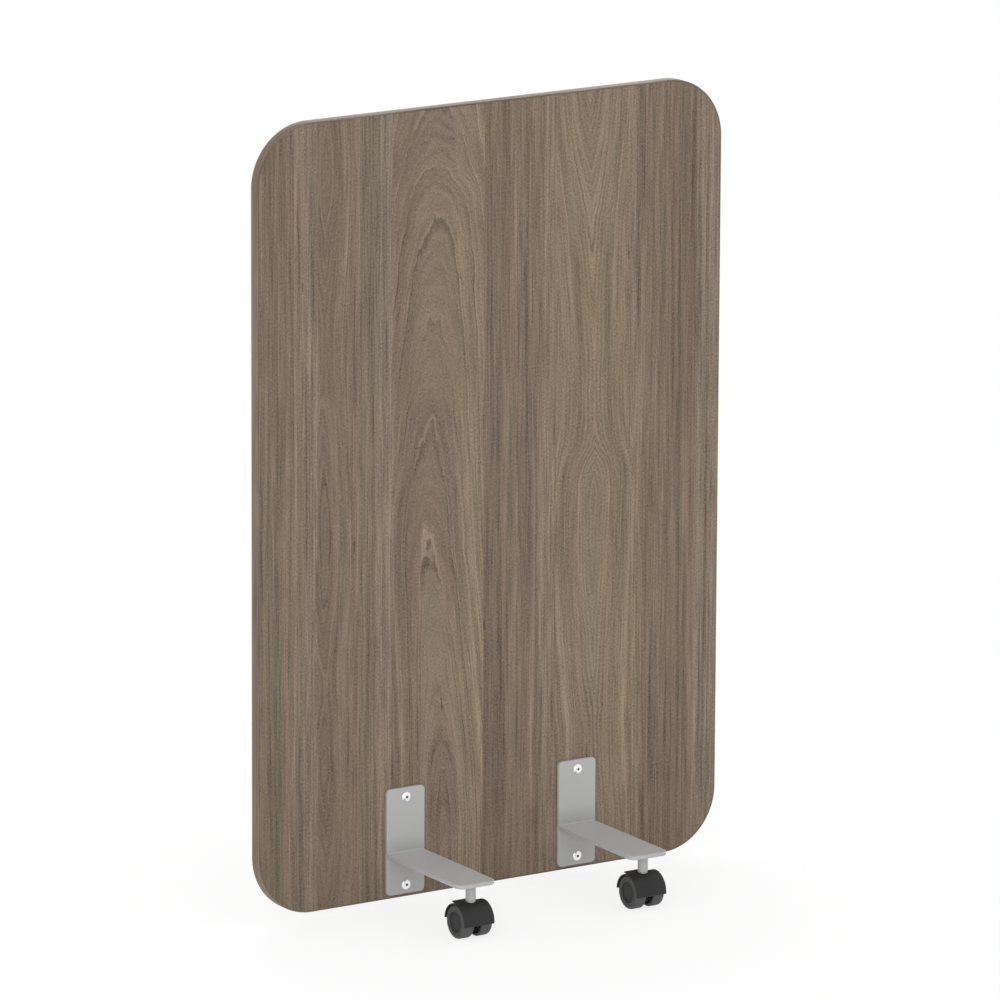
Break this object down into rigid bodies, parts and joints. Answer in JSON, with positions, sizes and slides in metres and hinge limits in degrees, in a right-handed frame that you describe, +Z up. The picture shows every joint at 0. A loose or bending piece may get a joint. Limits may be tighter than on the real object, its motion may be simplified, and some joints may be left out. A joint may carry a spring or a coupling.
{
  "type": "rolling partition",
  "caption": "Free-standing wood-faced screen board with rounded corners on steel foot brackets with hooded, braked twin-wheel casters.",
  "frame": {"origin": "on the floor, under the middle of the board", "axes": "+Z up; +X along the board's width; the board's front face looks towards -Y"},
  "size_m": [0.8, 0.438, 1.196],
  "materials": {
    "laminate": "matt grey-brown wood-grain melamine facing on chipboard",
    "edging": "matt wood-grain edge band",
    "coated_steel": "light grey fine-texture powder coat",
    "zinc_steel": "zinc-plated steel",
    "bright_steel": "bright nickel plate",
    "housing_plastic": "moulded, fine satin grain",
    "wheel_plastic": "moulded, worn satin",
    "cap_plastic": "moulded, satin"
  },
  "bodies": {
    "partition": {"board": "laminate", "edge_band": "edging", "plate_front_left": "coated_steel", "arm_front_left": "coated_steel", "stem_sleeve_front_left": "coated_steel", "caster_stem_front_left": "zinc_steel", "grip_ring_front_left": "zinc_steel", "plate_rear_left": "coated_steel", "arm_rear_left": "coated_steel", "stem_sleeve_rear_left": "coated_steel", "caster_stem_rear_left": "zinc_steel", "grip_ring_rear_left": "zinc_steel", "plate_front_right": "coated_steel", "arm_front_right": "coated_steel", "stem_sleeve_front_right": "coated_steel", "caster_stem_front_right": "zinc_steel", "grip_ring_front_right": "zinc_steel", "plate_rear_right": "coated_steel", "arm_rear_right": "coated_steel", "stem_sleeve_rear_right": "coated_steel", "caster_stem_rear_right": "zinc_steel", "grip_ring_rear_right": "zinc_steel", "screw_left_lower": "bright_steel", "sleeve_nut_left_lower": "bright_steel", "screw_left_upper": "bright_steel", "sleeve_nut_left_upper": "bright_steel", "screw_right_lower": "bright_steel", "sleeve_nut_right_lower": "bright_steel", "screw_right_upper": "bright_steel", "sleeve_nut_right_upper": "bright_steel"},
    "caster_front_left": {"caster_hood_front_left": "housing_plastic", "axle_front_left": "zinc_steel"},
    "wheel_front_left_outer": {"wheel_front_left_outer": "wheel_plastic", "hub_cap_front_left_outer": "cap_plastic"},
    "wheel_front_left_inner": {"wheel_front_left_inner": "wheel_plastic", "hub_cap_front_left_inner": "cap_plastic"},
    "brake_front_left": {"brake_lever_front_left": "housing_plastic"},
    "caster_rear_left": {"caster_hood_rear_left": "housing_plastic", "axle_rear_left": "zinc_steel"},
    "wheel_rear_left_outer": {"wheel_rear_left_outer": "wheel_plastic", "hub_cap_rear_left_outer": "cap_plastic"},
    "wheel_rear_left_inner": {"wheel_rear_left_inner": "wheel_plastic", "hub_cap_rear_left_inner": "cap_plastic"},
    "brake_rear_left": {"brake_lever_rear_left": "housing_plastic"},
    "caster_front_right": {"caster_hood_front_right": "housing_plastic", "axle_front_right": "zinc_steel"},
    "wheel_front_right_outer": {"wheel_front_right_outer": "wheel_plastic", "hub_cap_front_right_outer": "cap_plastic"},
    "wheel_front_right_inner": {"wheel_front_right_inner": "wheel_plastic", "hub_cap_front_right_inner": "cap_plastic"},
    "brake_front_right": {"brake_lever_front_right": "housing_plastic"},
    "caster_rear_right": {"caster_hood_rear_right": "housing_plastic", "axle_rear_right": "zinc_steel"},
    "wheel_rear_right_outer": {"wheel_rear_right_outer": "wheel_plastic", "hub_cap_rear_right_outer": "cap_plastic"},
    "wheel_rear_right_inner": {"wheel_rear_right_inner": "wheel_plastic", "hub_cap_rear_right_inner": "cap_plastic"},
    "brake_rear_right": {"brake_lever_rear_right": "housing_plastic"}
  },
  "joints": [
    {"name": "swivel_front_left", "type": "hinge", "parent": "partition", "child": "caster_front_left", "pos_m": [-0.15, -0.194, 0.053], "axis": [0, 0, 1], "continuous": true},
    {"name": "roll_front_left_outer", "type": "hinge", "parent": "caster_front_left", "child": "wheel_front_left_outer", "pos_m": [-0.15, -0.191, 0.025], "axis": [1, 0, 0], "continuous": true},
    {"name": "roll_front_left_inner", "type": "hinge", "parent": "caster_front_left", "child": "wheel_front_left_inner", "pos_m": [-0.15, -0.191, 0.025], "axis": [1, 0, 0], "continuous": true},
    {"name": "brake_front_left", "type": "hinge", "parent": "caster_front_left", "child": "brake_front_left", "pos_m": [-0.15, -0.1834, 0.0435], "axis": [-1, 0, 0], "range_deg": [0, 6.5]},
    {"name": "swivel_rear_left", "type": "hinge", "parent": "partition", "child": "caster_rear_left", "pos_m": [-0.15, 0.194, 0.053], "axis": [0, 0, 1], "continuous": true},
    {"name": "roll_rear_left_outer", "type": "hinge", "parent": "caster_rear_left", "child": "wheel_rear_left_outer", "pos_m": [-0.15, 0.191, 0.025], "axis": [1, 0, 0], "continuous": true},
    {"name": "roll_rear_left_inner", "type": "hinge", "parent": "caster_rear_left", "child": "wheel_rear_left_inner", "pos_m": [-0.15, 0.191, 0.025], "axis": [1, 0, 0], "continuous": true},
    {"name": "brake_rear_left", "type": "hinge", "parent": "caster_rear_left", "child": "brake_rear_left", "pos_m": [-0.15, 0.1834, 0.0435], "axis": [1, 0, 0], "range_deg": [0, 6.5]},
    {"name": "swivel_front_right", "type": "hinge", "parent": "partition", "child": "caster_front_right", "pos_m": [0.15, -0.194, 0.053], "axis": [0, 0, 1], "continuous": true},
    {"name": "roll_front_right_outer", "type": "hinge", "parent": "caster_front_right", "child": "wheel_front_right_outer", "pos_m": [0.15, -0.191, 0.025], "axis": [1, 0, 0], "continuous": true},
    {"name": "roll_front_right_inner", "type": "hinge", "parent": "caster_front_right", "child": "wheel_front_right_inner", "pos_m": [0.15, -0.191, 0.025], "axis": [1, 0, 0], "continuous": true},
    {"name": "brake_front_right", "type": "hinge", "parent": "caster_front_right", "child": "brake_front_right", "pos_m": [0.15, -0.1834, 0.0435], "axis": [-1, 0, 0], "range_deg": [0, 6.5]},
    {"name": "swivel_rear_right", "type": "hinge", "parent": "partition", "child": "caster_rear_right", "pos_m": [0.15, 0.194, 0.053], "axis": [0, 0, 1], "continuous": true},
    {"name": "roll_rear_right_outer", "type": "hinge", "parent": "caster_rear_right", "child": "wheel_rear_right_outer", "pos_m": [0.15, 0.191, 0.025], "axis": [1, 0, 0], "continuous": true},
    {"name": "roll_rear_right_inner", "type": "hinge", "parent": "caster_rear_right", "child": "wheel_rear_right_inner", "pos_m": [0.15, 0.191, 0.025], "axis": [1, 0, 0], "continuous": true},
    {"name": "brake_rear_right", "type": "hinge", "parent": "caster_rear_right", "child": "brake_rear_right", "pos_m": [0.15, 0.1834, 0.0435], "axis": [1, 0, 0], "range_deg": [0, 6.5]}
  ]
}
